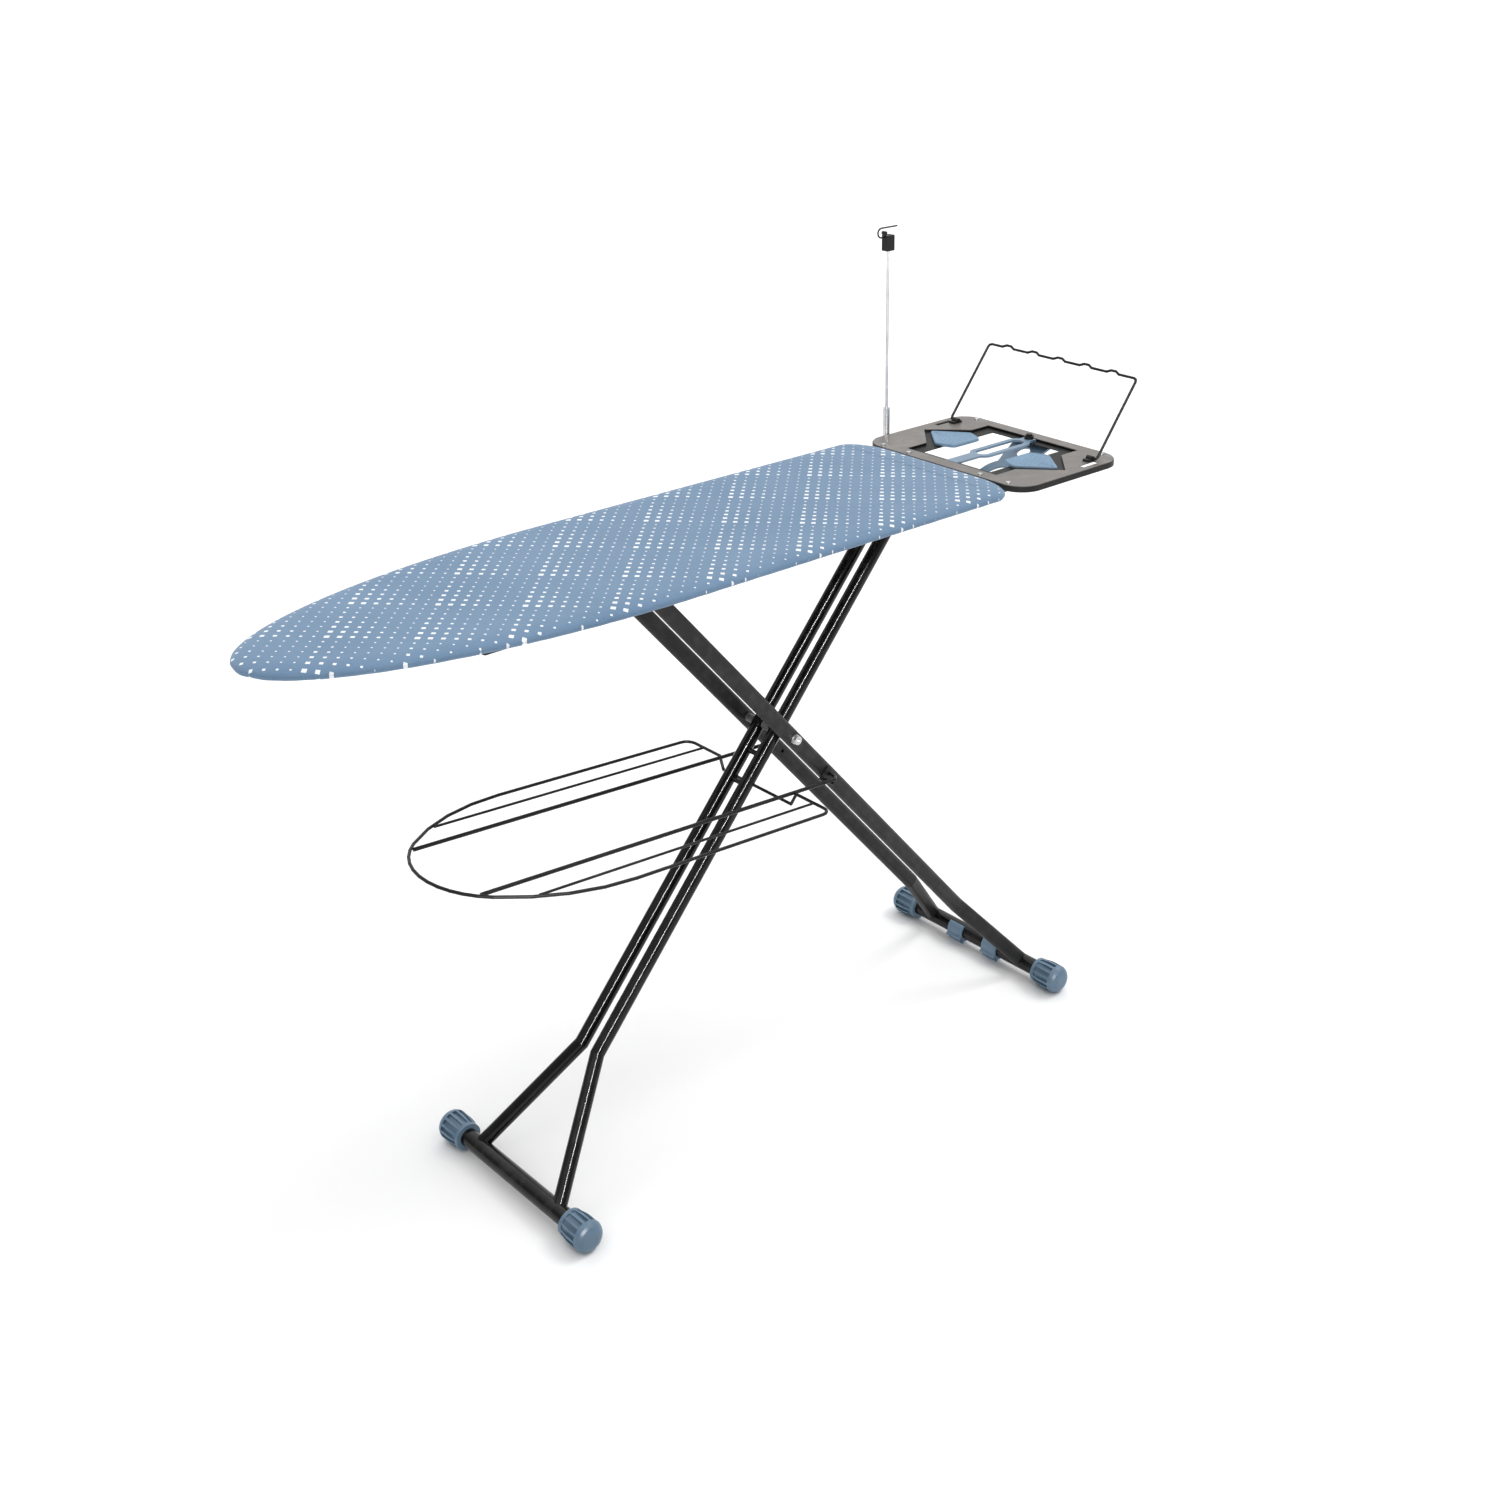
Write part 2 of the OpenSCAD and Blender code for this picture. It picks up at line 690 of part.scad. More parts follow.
// flex holder
module flex_post() {
    color("silver") translate(at(post_u, post_y, post_d)) difference() {
        union() {
            cylinder(r = 6, h = post_l);
            ycyl(7, 11.6);
        }
        translate([0, 0, 9]) cylinder(r = 2.5 + run_c, h = post_l);
        ycyl(3 + run_c, 20);
    }
}

module flex_rod() {
    color("gray") translate(at(post_u, post_y, post_d - 9.2)) cylinder(r = 2.5, h = rod_top - 9.2);
}

module flex_block() {
    color("black") translate(at(post_u, post_y, post_d - rod_top + 8)) difference() {
        translate([-8.5, -6.5, 0]) cube([17, 13, 26]);
        translate([0, 0, -1]) cylinder(r = 2.52, h = 9.1);
    }
}

// sprung wire clip that holds the iron's flex: a coil and an arm above the block
module flex_clip() {
    d = 2.7;
    coil = [for (a = [90:25:290]) [-16 + 8 * cos(a), 0, 5 + 8 * sin(a)]];
    color("black") translate(at(post_u, post_y, post_d - rod_top - 18)) {
        wire(concat([[20, 0, 13]], coil, [[-10.5, 0, 2]]), d);
        rod([-8.6, 0, -2.7], [-15, 0, -2.9], d);
        translate([-9, 0, 4]) rotate([90, 0, 0]) cylinder(r = 3.5, h = 7, center = true);
    }
}

// height lever
module lever_shaft() {
    color("silver") translate(at(-lever_s, 16, lever_d)) ycyl(4, 196);
}

module lock_pawls() {
    u = -slide_s;
    y = plate_out + 1.9;
    color("dimgray") for (j = [-1, 1]) difference() {
        union() {
            ubox(-lever_s - 10, -lever_s + 8, j * y - 1.2, j * y + 1.2, lever_d - 7,
                hinge_d + 5);
            ubox(u - 14, -lever_s + 8, j * y - 1.2, j * y + 1.2, hinge_d + 4, hinge_d + 13);
            ubox(u - 14, u - 5, j * y - 1.2, j * y + 1.2, hinge_d + 1, hinge_d + 5);
        }
        translate(at(u, 0, hinge_d)) ycyl(slide_r + 0.4, big);
        translate(at(-lever_s, 0, lever_d)) ycyl(4.02, big);
    }
}

// handle under the board's edge; lifting it drops the pawls clear of the pins
module lever_arm() {
    color("dimgray") difference() {
        union() {
            translate(at(-lever_s, lever_y, lever_d)) ycyl(8, 4);
            translate(at(-lever_s, lever_y, lever_d)) rotate([0, 14, 0])
                translate([0, -2, -7]) cube([82, 4, 12]);
        }
        translate(at(-lever_s, 0, lever_d)) ycyl(4.02, big);
    }
}

module lever_grip() {
    color("steelblue") translate(at(-lever_s, lever_y, lever_d)) rotate([0, 14, 0]) difference() {
        translate([20, -8, -9]) cube([76, 16, 14.5]);
        translate([19.9, -2.1, -7.1]) cube([62.2, 4.2, 12.2]);
    }
}

cover();
pad();
mesh_top();
edge_frame();
cross_members();
hinge_bracket();
slide_rails();
tray_supports();
tray_plate();
tray_trim();
tray_pan();
rest_pad(1);  // rest_pad_left
rest_pad(-1);  // rest_pad_right
tray_rivets();
hook_bar();
hook_knob();
hook_lugs();
rail_clips();
post_base();
inner_tube(1);  // inner_tube_left
inner_tube(-1);  // inner_tube_right
color("black") on_inner() foot_bar(inner_foot_w);  // inner_foot_bar
color("steelblue") on_inner() foot_cap(inner_foot_w, 1);  // inner_cap_left
color("steelblue") on_inner() foot_cap(inner_foot_w, -1);  // inner_cap_right
inner_hinge_pin();
pivot_bolt();
pivot_nut();
pivot_washers();
pivot_spacers();
inner_ties();
outer_tube(1);  // outer_tube_left
outer_tube(-1);  // outer_tube_right
color("black") on_outer() foot_bar(outer_foot_w);  // outer_foot_bar
color("steelblue") on_outer() foot_cap(outer_foot_w, 1);  // outer_cap_left
color("steelblue") on_outer() foot_cap(outer_foot_w, -1);  // outer_cap_right
slide_pins();
slide_washers();
leg_clips();
rack_stops();
rack_rim();
rack_thin_wires();
rack_load(1);  // rack_load_left
rack_load(-1);  // rack_load_right
hanging_rail();
storage_hook();
hook_pin();
flex_post();
flex_rod();
flex_block();
flex_clip();
lever_shaft();
lock_pawls();
lever_arm();
lever_grip();
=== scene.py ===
import json
import math

import bmesh
import bpy
from mathutils import Matrix, Vector


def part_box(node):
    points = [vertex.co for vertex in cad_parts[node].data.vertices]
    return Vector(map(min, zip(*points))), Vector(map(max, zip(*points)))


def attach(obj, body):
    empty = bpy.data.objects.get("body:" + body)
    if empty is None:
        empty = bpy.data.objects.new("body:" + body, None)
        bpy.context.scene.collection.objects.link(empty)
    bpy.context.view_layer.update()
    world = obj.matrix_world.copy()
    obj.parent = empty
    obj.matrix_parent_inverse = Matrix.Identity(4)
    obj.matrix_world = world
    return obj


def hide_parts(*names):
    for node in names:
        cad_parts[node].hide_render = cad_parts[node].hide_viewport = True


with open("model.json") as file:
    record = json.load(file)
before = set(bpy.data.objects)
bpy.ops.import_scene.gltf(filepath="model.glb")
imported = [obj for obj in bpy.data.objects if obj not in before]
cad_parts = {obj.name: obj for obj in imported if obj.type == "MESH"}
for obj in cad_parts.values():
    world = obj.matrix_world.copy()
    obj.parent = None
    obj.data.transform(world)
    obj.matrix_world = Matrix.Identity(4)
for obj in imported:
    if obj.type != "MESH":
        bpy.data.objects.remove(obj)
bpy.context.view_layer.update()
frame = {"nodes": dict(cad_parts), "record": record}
NODES = frame["nodes"]

# ---------------------------------------------------------------- named sizes, metres
COVER_LO, COVER_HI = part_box("cover")
END_X = COVER_HI[0]                    # square end of the board
TOP_Z = COVER_HI[2]                    # ironing surface
BOARD_L = COVER_HI[0] - COVER_LO[0]
HALF_W = (COVER_HI[1] - COVER_LO[1]) / 2
NOSE_L = 0.570                         # length of the tapering nose
CORNER_L, CORNER_W = 0.050, 0.085      # elliptical corners of the square end
CLOTH_T = 0.0009

# the camera, placed from the square end's top edge
CAMERA_AZIMUTH, CAMERA_ELEVATION = -42.63, 17.8
CAMERA_PLACE = (-2.18736, -2.09381, -0.94136)
CAMERA_LENS = 47.12
CAMERA_SHIFT = (-0.0450, -0.1817)

STRIP_WATTS, STRIP_AWAY = 330.0, 4.4
STRIP_SIZE = (3.0, 0.075)


def at(u, y, d):
    """Point u beyond the square end, y across, d below the ironing surface."""
    return Vector((END_X + u, y, TOP_Z - d))


# ---------------------------------------------------------------- camera, lights, floor
def make_camera():
    azimuth, elevation = math.radians(CAMERA_AZIMUTH), math.radians(CAMERA_ELEVATION)
    data = bpy.data.cameras.new("camera")
    data.sensor_width = 36.0
    data.lens = CAMERA_LENS
    data.shift_x, data.shift_y = CAMERA_SHIFT
    data.clip_start, data.clip_end = 0.05, 200
    cam = bpy.data.objects.new("camera", data)
    cam.location = at(*CAMERA_PLACE)
    look = Vector((-math.sin(azimuth) * math.cos(elevation),
                   math.cos(azimuth) * math.cos(elevation), -math.sin(elevation)))
    cam.rotation_mode = "QUATERNION"
    cam.rotation_quaternion = look.to_track_quat("-Z", "Y")
    bpy.context.scene.collection.objects.link(cam)
    bpy.context.scene.camera = cam


def make_lights():
    """A studio dome, brightest overhead and behind, a soft key and a long narrow strip lamp."""
    scene = bpy.context.scene
    make_dome(scene)
    lamp("key_sun", "SUN", (-0.80, 0.25, -1.10), 0.90).data.angle = math.radians(24)
    make_strip()
    scene.view_settings.view_transform = "Standard"


def make_dome(scene):
    """World light that ramps up behind the board, as the camera sees it, and overhead."""
    world = bpy.data.worlds.new("studio")
    scene.world = world
    world.use_nodes = True
    tree = world.node_tree
    back = tree.nodes["Background"]
    back.inputs["Color"].default_value = (1.0, 1.0, 1.0, 1.0)
    direction = tree.nodes.new("ShaderNodeTexCoord").outputs["Generated"]
    parts = []
    # each part of the sky: the way it faces, the cosines it ramps between, its strengths there
    for axis, lo, hi, a, b in (((0.677, 0.736, 0.0), 0.45, 0.80, 0.39, 1.02),
                               ((0.0, 0.0, 1.0), 0.30, 0.95, 0.0, 1.15)):
        dot = tree.nodes.new("ShaderNodeVectorMath")
        dot.operation = "DOT_PRODUCT"
        dot.inputs[1].default_value = axis
        ramp = tree.nodes.new("ShaderNodeMapRange")
        ramp.interpolation_type = "SMOOTHSTEP"
        for key, v in (("From Min", lo), ("From Max", hi), ("To Min", a), ("To Max", b)):
            ramp.inputs[key].default_value = v
        tree.links.new(direction, dot.inputs[0])
        tree.links.new(dot.outputs["Value"], ramp.inputs["Value"])
        parts.append(ramp.outputs[0])
    total = tree.nodes.new("ShaderNodeMath")
    total.operation = "ADD"
    for i, part in enumerate(parts):
        tree.links.new(part, total.inputs[i])
    tree.links.new(total.outputs[0], back.inputs["Strength"])


def lamp(name, kind, aim, energy, place=(0, 0, 0)):
    data = bpy.data.lights.new(name, kind)
    data.energy = energy
    obj = bpy.data.objects.new(name, data)
    obj.location = place
    obj.rotation_mode = "QUATERNION"
    obj.rotation_quaternion = Vector(aim).to_track_quat("-Z", "Y")
    bpy.context.scene.collection.objects.link(obj)
    return obj


def make_strip():
    """A strip lamp along the inner legs' slope, so that its reflection runs down the tubes."""
    target = at(-0.45, 0.0, 0.45)
    towards = Vector((0.467, 0.729, -0.50)).normalized()
    strip = lamp("strip", "AREA", towards, STRIP_WATTS, target - towards * STRIP_AWAY)
    strip.data.shape = "RECTANGLE"
    strip.data.size, strip.data.size_y = STRIP_SIZE
    strip.visible_diffuse = False      # it acts on reflections only
    slope = Vector((-0.655, 0.0, -0.756))
    x_axis = (slope - towards * slope.dot(towards)).normalized()
    z_axis = -towards
    y_axis = z_axis.cross(x_axis)
    strip.rotation_quaternion = Matrix((x_axis, y_axis, z_axis)).transposed().to_quaternion()


# ---------------------------------------------------------------- material helpers
class Graph:
    """A small wrapper that builds a node material."""

    def __init__(self, name):
        self.mat = bpy.data.materials.new(name)
        self.mat.use_nodes = True
        self.tree = self.mat.node_tree
        self.tree.nodes.clear()
        self.out = self.tree.nodes.new("ShaderNodeOutputMaterial")
        self.bsdf = self.tree.nodes.new("ShaderNodeBsdfPrincipled")
        self.tree.links.new(self.bsdf.outputs[0], self.out.inputs["Surface"])
        self.coords = self.tree.nodes.new("ShaderNodeTexCoord").outputs["Object"]

    def feed(self, node, key, value):
        if value is None:
            return
        socket = node.inputs[key]
        if isinstance(value, bpy.types.NodeSocket):
            self.tree.links.new(value, socket)
        else:
            socket.default_value = value

    def maths(self, op, a, b=None):
        node = self.tree.nodes.new("ShaderNodeMath")
        node.operation = op
        for i, v in enumerate((a, b)):
            self.feed(node, i, v)
        return node.outputs[0]

    def axis(self, vector=None):
        node = self.tree.nodes.new("ShaderNodeSeparateXYZ")
        self.feed(node, 0, vector or self.coords)
        return node.outputs

    def noise(self, scale, detail=2.0, rough=0.5, stretch=None):
        vector = self.coords
        if stretch:
            mapping = self.tree.nodes.new("ShaderNodeMapping")
            self.feed(mapping, "Vector", vector)
            mapping.inputs["Scale"].default_value = stretch
            vector = mapping.outputs[0]
        node = self.tree.nodes.new("ShaderNodeTexNoise")
        self.feed(node, "Vector", vector)
        node.inputs["Scale"].default_value = scale
        node.inputs["Detail"].default_value = detail
        node.inputs["Roughness"].default_value = rough
        return node.outputs[0]

    def span(self, value, lo, hi, a, b):
        """Maps lo..hi onto a..b, held at both ends."""
        node = self.tree.nodes.new("ShaderNodeMapRange")
        for key, v in (("Value", value), ("From Min", lo), ("From Max", hi),
                       ("To Min", a), ("To Max", b)):
            self.feed(node, key, v)
        return node.outputs[0]

    def mix(self, share, a, b):
        node = self.tree.nodes.new("ShaderNodeMix")
        node.data_type = "RGBA"
        self.feed(node, 0, share)
        for key, v in ((6, a), (7, b)):
            self.feed(node, key, (*v, 1.0) if isinstance(v, tuple) else v)
        return node.outputs[2]

    def edge_wear(self):
        node = self.tree.nodes.new("ShaderNodeNewGeometry")
        return self.span(node.outputs["Pointiness"], 0.52, 0.62, 0.0, 1.0)

    def bump(self, height, strength, distance, normal=None):
        node = self.tree.nodes.new("ShaderNodeBump")
        node.inputs["Strength"].default_value = strength
        node.inputs["Distance"].default_value = distance
        self.feed(node, "Height", height)
        self.feed(node, "Normal", normal)
        return node.outputs[0]

    def finish(self, color, rough, normal=None, metallic=0.0, specular=0.5, sheen=0.0):
        b = self.bsdf
        self.feed(b, "Base Color", (*color, 1.0) if isinstance(color, tuple) else color)
        self.feed(b, "Roughness", rough)
        self.feed(b, "Normal", normal)
        b.inputs["Metallic"].default_value = metallic
        b.inputs["Specular IOR Level"].default_value = specular
        b.inputs["Sheen Weight"].default_value = sheen
        b.inputs["Sheen Roughness"].default_value = 0.5
        return self.mat


def coated_steel(name, dark, light, rough, peel=0.25, specular=0.35, wear=0.25):
    """Powder-coated or enamelled steel with orange peel, dust and rubbed edges."""
    g = Graph(name)
    cloud = g.noise(9.0, 3.0)
    speck = g.noise(260.0, 2.0)
    tone = g.mix(g.span(cloud, 0.35, 0.65, 0.0, 1.0), dark, light)
    rubbed = g.maths("MULTIPLY", g.edge_wear(), g.span(g.noise(45.0, 3.0), 0.45, 0.7, 0.0, wear))
    tone = g.mix(rubbed, tone, tuple(min(1.0, c * 2.6 + 0.05) for c in light))
    r = g.maths("ADD", g.span(cloud, 0.3, 0.7, rough - 0.05, rough + 0.05),
                g.span(speck, 0.3, 0.7, -0.03, 0.03))
    normal = g.bump(g.noise(620.0, 2.0), peel, 0.0005)
    return g.finish(tone, r, normal, specular=specular)


def bare_metal(name, dark, light, rough):
    """Zinc-plated steel: faint brushed streaks and a cloudy bloom."""
    g = Graph(name)
    cloud = g.noise(30.0, 4.0)
    streak = g.noise(90.0, 2.0, stretch=(1.0, 1.0, 9.0))
    tone = g.mix(g.span(cloud, 0.3, 0.7, 0.0, 1.0), dark, light)
    r = g.span(streak, 0.3, 0.7, rough - 0.08, rough + 0.1)
    return g.finish(tone, r, g.bump(streak, 0.15, 0.0003), metallic=0.9)


def moulded(name, dark, light, rough, grain=0.0004, specular=0.4):
    """Moulded plastic: slight flow marks, fine grain, paler rubbed edges."""
    g = Graph(name)
    flow = g.noise(22.0, 3.0)
    tone = g.mix(g.span(flow, 0.3, 0.7, 0.0, 1.0), dark, light)
    rubbed = g.span(g.edge_wear(), 0.0, 1.0, 0.0, 0.35)
    tone = g.mix(rubbed, tone, tuple(min(1.0, c * 1.35 + 0.04) for c in light))
    fine = g.noise(900.0, 2.0)
    r = g.span(fine, 0.3, 0.7, rough - 0.06, rough + 0.08)
    return g.finish(tone, r, g.bump(fine, 0.2, grain), specular=specular)


def felt(name):
    g = Graph(name)
    fibre = g.noise(420.0, 5.0, 0.7)
    cloud = g.noise(25.0, 3.0)
    tone = g.mix(g.span(cloud, 0.35, 0.65, 0.0, 1.0), (0.62, 0.60, 0.55), (0.78, 0.76, 0.71))
    tone = g.mix(g.span(fibre, 0.45, 0.75, 0.0, 0.35), tone, (0.50, 0.48, 0.44))
    return g.finish(tone, 0.95, g.bump(fibre, 0.7, 0.0012), specular=0.15, sheen=0.4)


PITCH = 0.0164        # spacing of the printed squares, along both diagonals of the board
CELL = 7.0            # squares in one repeat of the print
WEAVE = 0.0011        # length of one over-and-under of the threads


def printed_cotton(name, with_print=True):
    """Woven cotton, printed with white squares that shrink away from each cluster's tip."""
    g = Graph(name)
    x, y, z = g.axis()
    blue = g.mix(g.span(g.noise(7.0, 3.0), 0.3, 0.7, 0.0, 1.0),
                 (0.100, 0.185, 0.298), (0.124, 0.214, 0.332))
    # slub threads both ways
    warp = g.noise(1.0, 2.0, stretch=(2500.0, 25.0, 25.0))
    weft = g.noise(1.0, 2.0, stretch=(25.0, 2500.0, 25.0))
    slub = g.maths("ADD", warp, weft)
    blue = g.mix(g.span(slub, 0.85, 1.15, 0.0, 0.30), blue, (0.185, 0.285, 0.410))
    tone = blue
    if with_print:
        nose = g.maths("MULTIPLY", x, -1.0)
        k = 1.0 / (math.sqrt(2.0) * PITCH)
        p = g.maths("MULTIPLY", g.maths("ADD", nose, y), k)
        q = g.maths("MULTIPLY", g.maths("SUBTRACT", nose, y), k)
        fp = g.maths("SUBTRACT", g.maths("FRACT", p), 0.5)
        fq = g.maths("SUBTRACT", g.maths("FRACT", q), 0.5)
        i = g.maths("FLOORED_MODULO", g.maths("FLOOR", p), CELL)
        j = g.maths("FLOORED_MODULO", g.maths("FLOOR", q), CELL)
        back = g.maths("SUBTRACT", 2 * (CELL - 1), g.maths("ADD", i, j))
        size = g.span(back, 0.0, 7.0, 0.215, 0.075)
        square = g.maths("MAXIMUM", g.maths("ABSOLUTE", fp), g.maths("ABSOLUTE", fq))
        ink = g.span(g.maths("SUBTRACT", size, square), -0.012, 0.012, 0.0, 1.0)
        worn = g.span(g.noise(180.0, 3.0), 0.3, 0.7, 0.86, 1.0)
        tone = g.mix(g.maths("MULTIPLY", ink, worn), blue, (0.86, 0.89, 0.92))
    sx = g.maths("SINE", g.maths("MULTIPLY", x, 2 * math.pi / WEAVE))
    sy = g.maths("SINE", g.maths("MULTIPLY", y, 2 * math.pi / WEAVE))
    weave = g.maths("MULTIPLY", sx, sy)
    drag = g.noise(9.0, 3.0, stretch=(1.0, 3.2, 3.2))
    near_edge = g.span(g.maths("ABSOLUTE", y), 0.10, 0.17, 0.12, 0.75)
    normal = g.bump(g.maths("MULTIPLY", drag, near_edge), 0.55, 0.0060)
    normal = g.bump(weave, 0.25, 0.00025, normal)
    rough = g.span(slub, 0.8, 1.2, 0.78, 0.92)
    return g.finish(tone, rough, normal, specular=0.25, sheen=0.25)


# ---------------------------------------------------------------- mesh helpers
def new_object(name, verts, faces, material):
    mesh = bpy.data.meshes.new(name)
    mesh.from_pydata([tuple(v) for v in verts], [], faces)
    mesh.validate()
    bm = bmesh.new()
    bm.from_mesh(mesh)
    bmesh.ops.remove_doubles(bm, verts=bm.verts, dist=1e-5)
    bmesh.ops.dissolve_degenerate(bm, edges=bm.edges, dist=1e-6)
    bmesh.ops.recalc_face_normals(bm, faces=bm.faces)
    bm.to_mesh(mesh)
    bm.free()
    for p in mesh.polygons:
        p.use_smooth = True
    mesh.materials.append(material)
    obj = bpy.data.objects.new(name, mesh)
    bpy.context.scene.collection.objects.link(obj)
    return obj


def join_rings(rings, count, first=0):
    """Quads between rings of count points each, the first ring starting at vertex first."""
    faces = []
    for r in range(rings - 1):
        low = first + r * count
        for i in range(count):
            j = (i + 1) % count
            faces.append((low + i, low + j, low + count + j, low + count + i))
    return faces


def apply_modifiers(obj):
    deps = bpy.context.evaluated_depsgraph_get()
    mesh = bpy.data.meshes.new_from_object(obj.evaluated_get(deps))
    obj.modifiers.clear()
    obj.data = mesh


def board_outline(count):
    """Closed outline of the board as (u, y) pairs at even steps, starting at the square end."""
    half = [(0.0, 0.0), (0.0, HALF_W - CORNER_W)]
    for k in range(1, 25):
        a = math.radians(90 * k / 24)
        half.append((-CORNER_L + CORNER_L * math.cos(a), HALF_W - CORNER_W + CORNER_W * math.sin(a)))
    straight = BOARD_L - NOSE_L
    for k in range(1, 30):
        half.append((-CORNER_L - (straight - CORNER_L) * k / 30, HALF_W))
    for k in range(0, 121):
        a = math.radians(90 * k / 120)
        half.append((-straight - NOSE_L * math.sin(a), HALF_W * math.cos(a)))
    loop = half + [(u, -y) for u, y in reversed(half[1:-1])]
    return resample(loop, count)


def resample(loop, count):
    pts = loop + [loop[0]]
    run = [0.0]
    for a, b in zip(pts, pts[1:]):
        run.append(run[-1] + math.dist(a, b))
    out, k = [], 0
    for i in range(count):
        want = run[-1] * i / count
        while run[k + 1] < want:
            k += 1
        t = (want - run[k]) / max(1e-12, run[k + 1] - run[k])
        out.append(tuple(p + (q - p) * t for p, q in zip(pts[k], pts[k + 1])))
    return out


def inset(loop, g):
    """Moves each point of a counter-clockwise (u, y) loop inwards by g."""
    out = []
    n = len(loop)
    for i in range(n):
        (ax, ay), (bx, by) = loop[i - 1], loop[(i + 1) % n]
        dx, dy = bx - ax, by - ay
        s = math.hypot(dx, dy)
        out.append((loop[i][0] - dy / s * g, loop[i][1] + dx / s * g))
    return out


def bend_of(loop, i, reach=6):
    """How sharply the outline turns at point i, from 0 on a straight to 1 on a corner."""
    n = len(loop)
    a, b, c = loop[(i - reach) % n], loop[i], loop[(i + reach) % n]
    t = (math.atan2(c[1] - b[1], c[0] - b[0]) - math.atan2(b[1] - a[1], b[0] - a[0]))
    t = (t + math.pi) % (2 * math.pi) - math.pi
    return min(1.0, abs(t) / 0.45)


# ---------------------------------------------------------------- the fitted cover
ROLL_IN, ROLL_DOWN = 0.034, 0.0095     # the padded edge falls away over this width and depth
ROLL_ANGLES = range(0, 91, 6)          # degrees, the steps of the rolled edge
LIP_IN = 0.0172                        # the turned-under edge ends this far inside the outline
SPINE = (-0.10, -1.13)                 # rings shrink towards this line along the middle
AROUND = 720                           # points along the cover's edge
HEM_R, HEM_SIDES = 0.0019, 10          # the drawstring casing's radius and facets
HEM_DOWN = 0.0180                      # its centre's depth below the ironing surface


def cover_profile():
    """(inset, depth) pairs from the flat top, over the rolled edge, to the turned-under lip."""
    steps = [(ROLL_IN * (1 - math.sin(math.radians(a))), ROLL_DOWN * (1 - math.cos(math.radians(a))))
             for a in ROLL_ANGLES]
    steps += [(0.0001, 0.0108), (0.0007, 0.0124), (0.0018, 0.0138), (0.0034, 0.0148),
              (0.0056, 0.0154), (0.0085, 0.0157), (0.0120, 0.0157), (LIP_IN, 0.0157)]
    return steps


def signed_area(loop):
    return sum(a[0] * b[1] - b[0] * a[1] for a, b in zip(loop, loop[1:] + loop[:1])) / 2


def lay(share, u, y, d):
    """A point of a ring shrunk to a share of its size towards the board's middle line."""
    su = min(SPINE[0], max(SPINE[1], u))
    return at(su + (u - su) * share, y * share, d)


def make_cover(material):
    edge = board_outline(AROUND)
    if signed_area(edge) < 0:
        edge.reverse()
    bends = [bend_of(edge, i) for i in range(AROUND)]
    normals = [(p[0] - q[0], p[1] - q[1]) for p, q in zip(edge, inset(edge, 1.0))]
    profile = cover_profile()
    verts = []
    for g, d in profile:
        for i, (u, y) in enumerate(inset(edge, g)):
            wave = (math.sin(i * 2 * math.pi / 9.0) + 0.6 * math.sin(i * 2 * math.pi / 15.0 + 1.3)
                    + 0.4 * math.sin(i * 2 * math.pi / 37.0 + 0.4))
            low = min(1.0, max(0.0, (d - 0.0035) / 0.010))
            fold = 0.00070 * wave * low * (0.30 + 0.70 * bends[i])
            nu, ny = normals[i]
            side = min(0.0, fold - 0.0004 * low) if g < 0.004 else 0.0
            verts.append(at(u + nu * side, y + ny * side, d + 0.3 * abs(fold) * (d < 0.014)))
    faces = [tuple(range(AROUND))]
    faces += join_rings(len(profile), AROUND)
    cover = new_object("cover_fabric", verts, faces, material)
    thick = cover.modifiers.new("thickness", "SOLIDIFY")
    thick.thickness = CLOTH_T
    thick.offset = -1.0
    apply_modifiers(cover)
    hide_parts("cover")
    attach(cover, "board")

    hem = make_hem(edge, normals)


def make_hem(edge, normals):
    """The drawstring casing, gathered along the cover's turned-under edge."""
    verts, faces = [], []
    for i, (u, y) in enumerate(inset(edge, LIP_IN)):
        gather = 1.0 + 0.16 * math.sin(i * 2 * math.pi / 7.0) + 0.08 * math.sin(i * 2 * math.pi / 11.0)
        r = HEM_R * gather
        out = Vector((*normals[i], 0))
        for s in range(HEM_SIDES):
            w = 2 * math.pi * s / HEM_SIDES
            verts.append(at(u, y, HEM_DOWN) + out * (r * math.cos(w))
                         + Vector((0, 0, r * 0.85 * math.sin(w))))
    for i in range(AROUND):
        j = (i + 1) % AROUND
        for s in range(HEM_SIDES):
            t = (s + 1) % HEM_SIDES
            faces.append((i * HEM_SIDES + s, j * HEM_SIDES + s, j * HEM_SIDES + t, i * HEM_SIDES + t))
    hem = new_object("cover_hem", verts, faces, printed_cotton("hem_cotton", False))
    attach(hem, "board")
    return hem


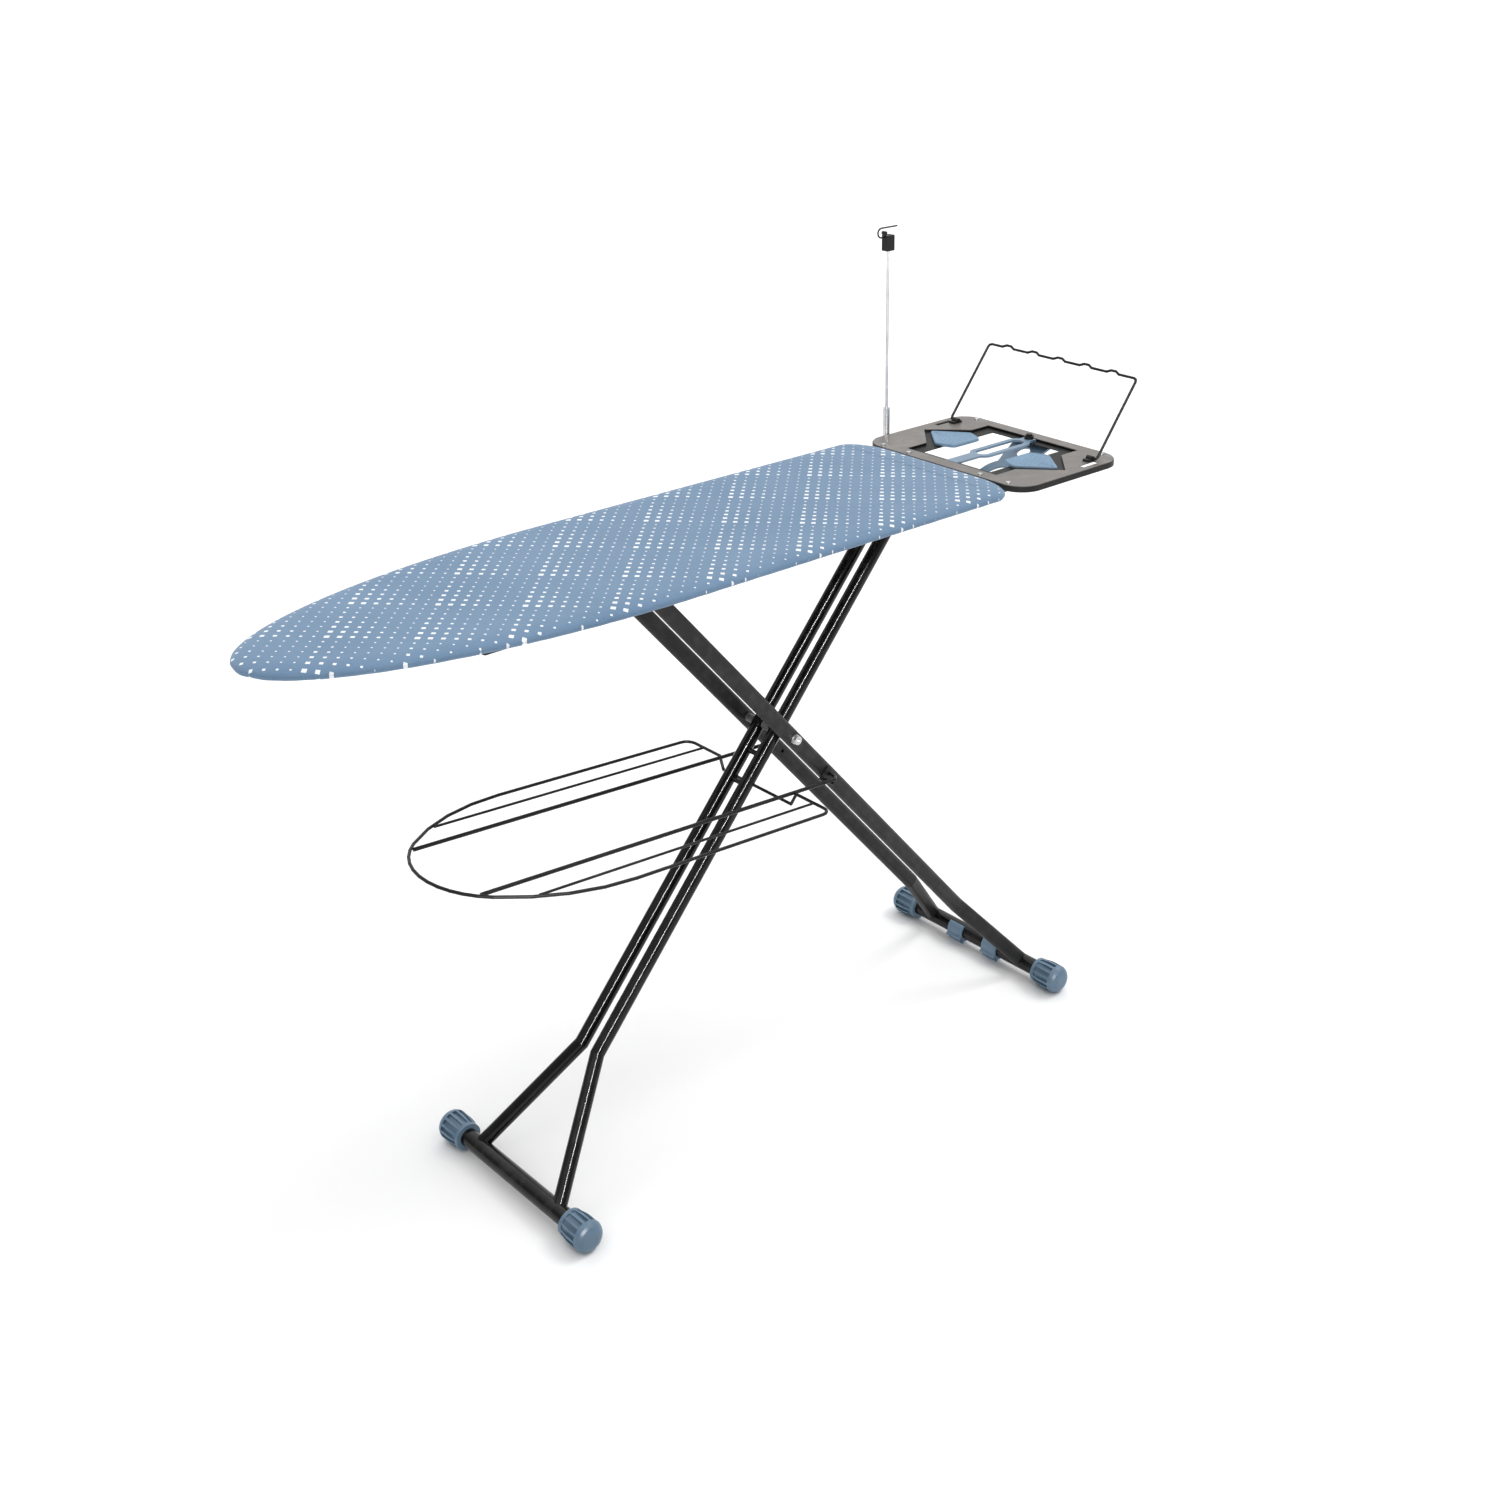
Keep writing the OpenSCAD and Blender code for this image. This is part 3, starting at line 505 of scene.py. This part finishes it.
def make_pad(material):
    """The felt under the cover: flat on the steel, rolled over and turned down round the frame."""
    lo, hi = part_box("pad")
    depth_top, depth_bottom = TOP_Z - hi[2], TOP_Z - lo[2]
    steel_in = HALF_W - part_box("mesh_top")[1][1]
    steel_top = TOP_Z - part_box("mesh_top")[1][2]
    count = 360
    edge = board_outline(count)
    if signed_area(edge) < 0:
        edge.reverse()
    gap = CLOTH_T + 0.0003
    outer = [(g + gap * math.sin(math.radians(a)), d + gap) for a, (g, d) in
             zip(ROLL_ANGLES, cover_profile())]
    outer += [(gap, 0.0108), (gap + 0.0008, 0.0122), (gap + 0.003, depth_bottom)]
    rows = [(share, outer[0][0], depth_top) for share in (0.0, 0.35, 0.7, 0.93)]
    rows += [(1.0, g, min(depth_bottom, max(depth_top, d))) for g, d in outer]
    rows += [(1.0, steel_in - 0.0006, depth_bottom), (1.0, steel_in - 0.0006, steel_top - 0.0001)]
    rows += [(1.0, outer[0][0], steel_top - 0.0001)]
    rows += [(share, outer[0][0], steel_top - 0.0001) for share in (0.93, 0.7, 0.35, 0.0)]
    verts = []
    for share, g, d in rows:
        verts += [lay(share, u, y, d) for u, y in inset(edge, g)]
    pad = new_object("felt_pad", verts, join_rings(len(rows), count), material)
    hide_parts("pad")
    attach(pad, "board")


# ---------------------------------------------------------------- pads of the iron rest
REST_POINTS = 100                      # points round a rest pad
DIMPLE_STEP, DIMPLE_R, DIMPLE_H = 0.0085, 0.0028, 0.0008
DIMPLE_SIDES = 10


def pad_loop(side):
    """Outline of a rest pad: five corners, softened."""
    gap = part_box("tray_plate")[0][0]
    corners = [(gap + u, side * y) for u, y in
               ((0.126, 0.143), (0.169, 0.087), (0.155, 0.055), (0.093, 0.055), (0.079, 0.087))]
    if signed_area(corners) < 0:
        corners.reverse()
    loop = resample(corners, REST_POINTS)
    for _ in range(5):
        loop = [tuple((a + 2 * b + c) / 4 for a, b, c in
                      zip(loop[i - 1], loop[i], loop[(i + 1) % REST_POINTS]))
                for i in range(REST_POINTS)]
    return loop


def add_dimple(x, y, z, verts, faces):
    """A low round bump standing on height z."""
    base, n = len(verts), DIMPLE_SIDES
    for radius, height in ((1.0, 0.0), (0.8, 0.55), (0.45, 0.9)):
        for s in range(n):
            w = 2 * math.pi * s / n
            verts.append(Vector((x + DIMPLE_R * radius * math.cos(w),
                                 y + DIMPLE_R * radius * math.sin(w), z + DIMPLE_H * height)))
    verts.append(Vector((x, y, z + DIMPLE_H)))
    faces += join_rings(3, n, base)
    for s in range(n):
        faces.append((base + 2 * n + s, base + 2 * n + (s + 1) % n, base + 3 * n))


def make_rest_pad(node, side, material):
    """Five-sided silicone pad with a rounded rim and staggered rows of raised dimples."""
    lo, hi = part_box(node)
    h = hi[2] - lo[2]
    loop = pad_loop(side)
    centre = Vector((sum(p[0] for p in loop) / REST_POINTS, sum(p[1] for p in loop) / REST_POINTS))
    # each ring's inset in metres and its share of the pad's height
    profile = ((0.0, 0.0), (0.0, 0.62), (0.0005, 0.85), (0.0017, 0.97), (0.0032, 1.0),
               (0.0045, 0.90), (0.0058, 0.85))
    verts = []
    for g, f in profile:
        verts += [Vector((x, y, lo[2] + h * f)) for x, y in inset(loop, g)]
    last_g, last_f = profile[-1]
    shares = (0.75, 0.5, 0.25, 0.0)
    for share in shares:
        verts += [Vector((centre.x + (x - centre.x) * share, centre.y + (y - centre.y) * share,
                          lo[2] + h * last_f)) for x, y in inset(loop, last_g)]
    faces = join_rings(len(profile) + len(shares), REST_POINTS)
    faces.append(tuple(range(REST_POINTS - 1, -1, -1)))
    inner = inset(loop, 0.010)
    for a in range(-12, 13):
        for b in range(-12, 13):
            x = centre.x + a * DIMPLE_STEP
            y = centre.y + (b + (a % 2) / 2) * DIMPLE_STEP
            if inside((x, y), inner):
                add_dimple(x, y, lo[2] + h * 0.845, verts, faces)
    pad = new_object(node + "_dimpled", verts, faces, material)
    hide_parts(node)
    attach(pad, "board")


def inside(p, loop):
    hit = False
    for (ax, ay), (bx, by) in zip(loop, loop[1:] + loop[:1]):
        if (ay > p[1]) != (by > p[1]) and p[0] < (bx - ax) * (p[1] - ay) / (by - ay) + ax:
            hit = not hit
    return hit


# ---------------------------------------------------------------- floor
def make_floor():
    g = Graph("floor_paint")
    cloud = g.noise(0.6, 2.0)
    tone = g.mix(g.span(cloud, 0.3, 0.7, 0.0, 1.0), (0.90, 0.90, 0.90), (0.93, 0.93, 0.93))
    mat = g.finish(tone, g.span(cloud, 0.3, 0.7, 0.75, 0.85), specular=0.1)
    size = 60.0
    floor = new_object("floor", [(-size, -size, -0.0005), (size, -size, -0.0005),
                                 (size, size, -0.0005), (-size, size, -0.0005)], [(0, 1, 2, 3)], mat)


# ---------------------------------------------------------------- build
make_camera()
make_lights()
make_floor()

MATERIALS = {
    "cover_cotton": printed_cotton("printed_cotton"),
    "pad_felt": felt("felt"),
    "black_enamel": coated_steel("black_enamel", (0.010, 0.010, 0.010), (0.018, 0.018, 0.018), 0.46,
                                 specular=0.24),
    "black_gloss": coated_steel("black_gloss", (0.0030, 0.0028, 0.0026), (0.0055, 0.0050, 0.0046), 0.12,
                                peel=0.0, specular=0.24),
    "black_wire": coated_steel("black_wire", (0.005, 0.005, 0.005), (0.009, 0.009, 0.009), 0.38,
                               specular=0.25),
    "pewter_enamel": coated_steel("pewter_enamel", (0.112, 0.101, 0.092), (0.150, 0.137, 0.126), 0.38,
                                  specular=0.40),
    "black_plastic": moulded("black_plastic", (0.005, 0.005, 0.005), (0.009, 0.009, 0.009), 0.40,
                             specular=0.12),
    "blue_plastic": moulded("blue_plastic", (0.098, 0.165, 0.235), (0.125, 0.200, 0.280), 0.36),
    "blue_silicone": moulded("blue_silicone", (0.150, 0.245, 0.350), (0.185, 0.290, 0.405), 0.60,
                             grain=0.0006, specular=0.25),
    "zinc": bare_metal("zinc", (0.50, 0.50, 0.51), (0.66, 0.66, 0.67), 0.34),
    "grey_nylon": moulded("grey_nylon", (0.060, 0.060, 0.062), (0.090, 0.090, 0.092), 0.45),
}
SLOT_OF = {s["node"]: s["material_slot"] for s in frame["record"]["subparts"]}
for name, obj in NODES.items():
    material = MATERIALS[SLOT_OF[name]]
    if obj.material_slots:
        for s in obj.material_slots:
            s.material = material
    else:
        obj.data.materials.append(material)

make_cover(MATERIALS["cover_cotton"])
make_pad(MATERIALS["pad_felt"])
make_rest_pad("rest_pad_left", 1, MATERIALS["blue_silicone"])
make_rest_pad("rest_pad_right", -1, MATERIALS["blue_silicone"])
